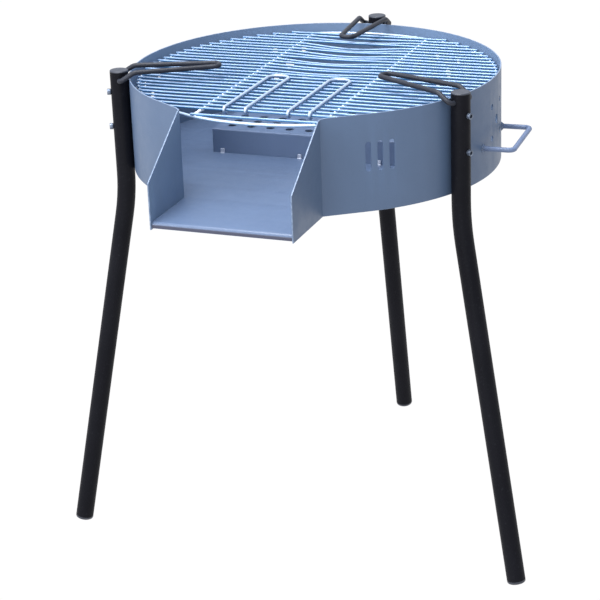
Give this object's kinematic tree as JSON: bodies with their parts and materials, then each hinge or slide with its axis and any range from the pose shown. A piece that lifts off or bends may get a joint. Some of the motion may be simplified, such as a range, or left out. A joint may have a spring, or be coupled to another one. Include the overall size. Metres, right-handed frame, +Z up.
{
  "type": "round barbecue",
  "caption": "Round sheet-steel wood and charcoal barbecue on tube legs, with front ash chute, ember tray, lift-off wire grate and swing-over pan supports.",
  "frame": {"origin": "centre of the bounding box's footprint, on the ground between the three feet; the drum's axis is 17.4 mm in front of it (towards -Y)", "axes": "+Z up; the ash chute points to -Y; +X is to the right seen from the chute"},
  "size_m": [0.8048, 0.8528, 0.8005],
  "materials": {
    "painted_sheet": "blue-grey satin heat-resistant paint on sheet steel",
    "black_tube": "black semi-matt powder coat on steel tube",
    "black_plastic": "moulded black plastic plug",
    "screw_steel": "zinc-plated screws, washers and nuts",
    "zinc_wire": "bright zinc-plated wire",
    "support_rod": "dark grey painted steel rod"
  },
  "bodies": {
    "frame": {"drum_wall": "painted_sheet", "drum_floor": "painted_sheet", "tray_stop_tabs": "painted_sheet", "side_handle": "painted_sheet", "leg_front_left": "black_tube", "leg_front_right": "black_tube", "leg_rear": "black_tube", "leg_cap_front_left": "black_plastic", "leg_cap_front_right": "black_plastic", "leg_cap_rear": "black_plastic", "foot_cap_front_left": "black_plastic", "foot_cap_front_right": "black_plastic", "foot_cap_rear": "black_plastic", "leg_screws_upper": "screw_steel", "leg_screws_lower": "screw_steel", "wall_washers": "screw_steel", "wall_nuts": "screw_steel"},
    "tray": {"ember_tray": "painted_sheet"},
    "grate": {"grate_ring": "zinc_wire", "grate_rungs": "zinc_wire", "grate_cross_bars": "zinc_wire"},
    "grate_loop_left": {"grate_handle_left": "zinc_wire"},
    "grate_loop_right": {"grate_handle_right": "zinc_wire"},
    "support_front_left": {"pan_support_front_left": "support_rod"},
    "support_front_right": {"pan_support_front_right": "support_rod"},
    "support_rear": {"pan_support_rear": "support_rod"}
  },
  "joints": [
    {"name": "support_front_left_swing", "type": "hinge", "parent": "frame", "child": "support_front_left", "pos_m": [-0.2846, -0.15256, 0.782], "axis": [0.4289, -0.9033, 0], "range_deg": [0, 254]},
    {"name": "support_front_right_swing", "type": "hinge", "parent": "frame", "child": "support_front_right", "pos_m": [0.2846, -0.15256, 0.782], "axis": [0.4289, 0.9033, 0], "range_deg": [0, 254]},
    {"name": "support_rear_swing", "type": "hinge", "parent": "frame", "child": "support_rear", "pos_m": [0, 0.29763, 0.782], "axis": [-1, 0, 0], "range_deg": [0, 254]},
    {"name": "grate_lift", "type": "slide", "parent": "frame", "child": "grate", "axis": [0, 0, 1], "range_m": [0, 0.013]},
    {"name": "grate_loop_left_fold", "type": "hinge", "parent": "grate", "child": "grate_loop_left", "pos_m": [-0.0415, -0.25242, 0.7734], "axis": [1, 0, 0], "range_deg": [0, 164]},
    {"name": "grate_loop_right_fold", "type": "hinge", "parent": "grate", "child": "grate_loop_right", "pos_m": [0.0625, -0.25242, 0.7734], "axis": [1, 0, 0], "range_deg": [0, 164]},
    {"name": "tray_lift", "type": "slide", "parent": "frame", "child": "tray", "axis": [0, 0, 1], "range_m": [0, 0.07]}
  ]
}
